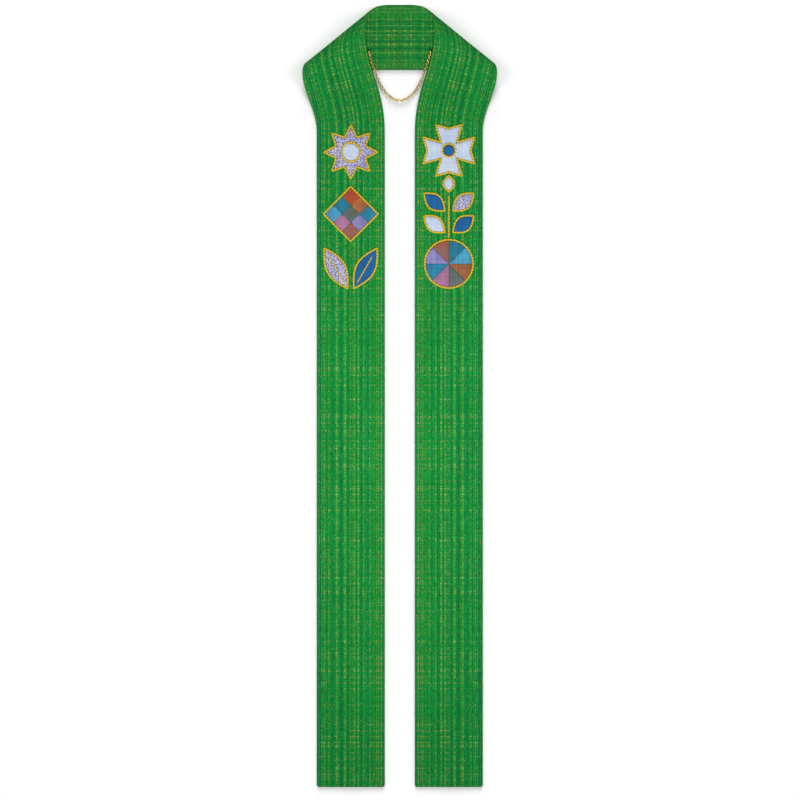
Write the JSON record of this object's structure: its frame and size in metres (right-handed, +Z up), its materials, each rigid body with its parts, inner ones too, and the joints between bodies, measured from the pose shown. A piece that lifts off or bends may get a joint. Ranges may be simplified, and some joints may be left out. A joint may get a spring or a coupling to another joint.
{
  "type": "clerical stole",
  "caption": "Clerical stole laid flat, folded over at the shoulders, with a chain between its inner edges and corded appliqué on both fronts.",
  "frame": {"origin": "middle of the stole's length and width, on the surface that it lies on", "axes": "+Z up from the surface, +Y along the fronts towards the neck, +X to the right as seen from above with the neck at the top"},
  "size_m": [0.343, 1.38, 0.0252],
  "materials": {
    "green_cloth": "slubbed dupion weave, soft sheen",
    "tweed": "silver-lilac tweed with blue and dark flecks",
    "pale_blue": "fine plain weave, matt",
    "blue": "plain weave, slight sheen",
    "gold_cord": "twisted metallic cord, couched down",
    "chain": "polished, a little worn",
    "rust": "plain weave, matt",
    "lilac": "plain weave, matt",
    "teal": "plain weave, slight sheen",
    "rose": "plain weave, matt",
    "grey_green": "ribbed weave, matt",
    "ochre": "plain weave, matt",
    "sky": "plain weave, slight sheen",
    "sea_blue": "plain weave, slight sheen",
    "brick": "plain weave, matt"
  },
  "bodies": {
    "root": {"chain": "chain", "chain_end_left": "chain", "chain_end_right": "chain", "cross": "pale_blue", "cross_cord": "gold_cord", "cross_disc": "blue", "cross_disc_cord": "gold_cord", "half_left": "green_cloth", "half_right": "green_cloth", "leaf_inner": "blue", "leaf_inner_cord": "gold_cord", "leaf_inner_vein": "gold_cord", "leaf_outer": "tweed", "leaf_outer_cord": "gold_cord", "leaf_outer_vein": "gold_cord", "lozenge_1": "rust", "lozenge_2": "lilac", "lozenge_3": "teal", "lozenge_4": "rose", "lozenge_5": "grey_green", "lozenge_6": "ochre", "lozenge_7": "sky", "lozenge_8": "sea_blue", "lozenge_9": "brick", "lozenge_cord": "gold_cord", "sprig_1": "blue", "sprig_1_cord": "gold_cord", "sprig_2": "tweed", "sprig_2_cord": "gold_cord", "sprig_3": "pale_blue", "sprig_3_cord": "gold_cord", "sprig_4": "blue", "sprig_4_cord": "gold_cord", "sprig_stem": "gold_cord", "sprig_top": "pale_blue", "sprig_top_cord": "gold_cord", "star": "tweed", "star_cord": "gold_cord", "star_disc": "pale_blue", "star_disc_cord": "gold_cord", "wheel_1": "rust", "wheel_2": "lilac", "wheel_3": "teal", "wheel_4": "rose", "wheel_5": "grey_green", "wheel_6": "ochre", "wheel_7": "sky", "wheel_8": "sea_blue", "wheel_cord": "gold_cord"}
  },
  "joints": []
}
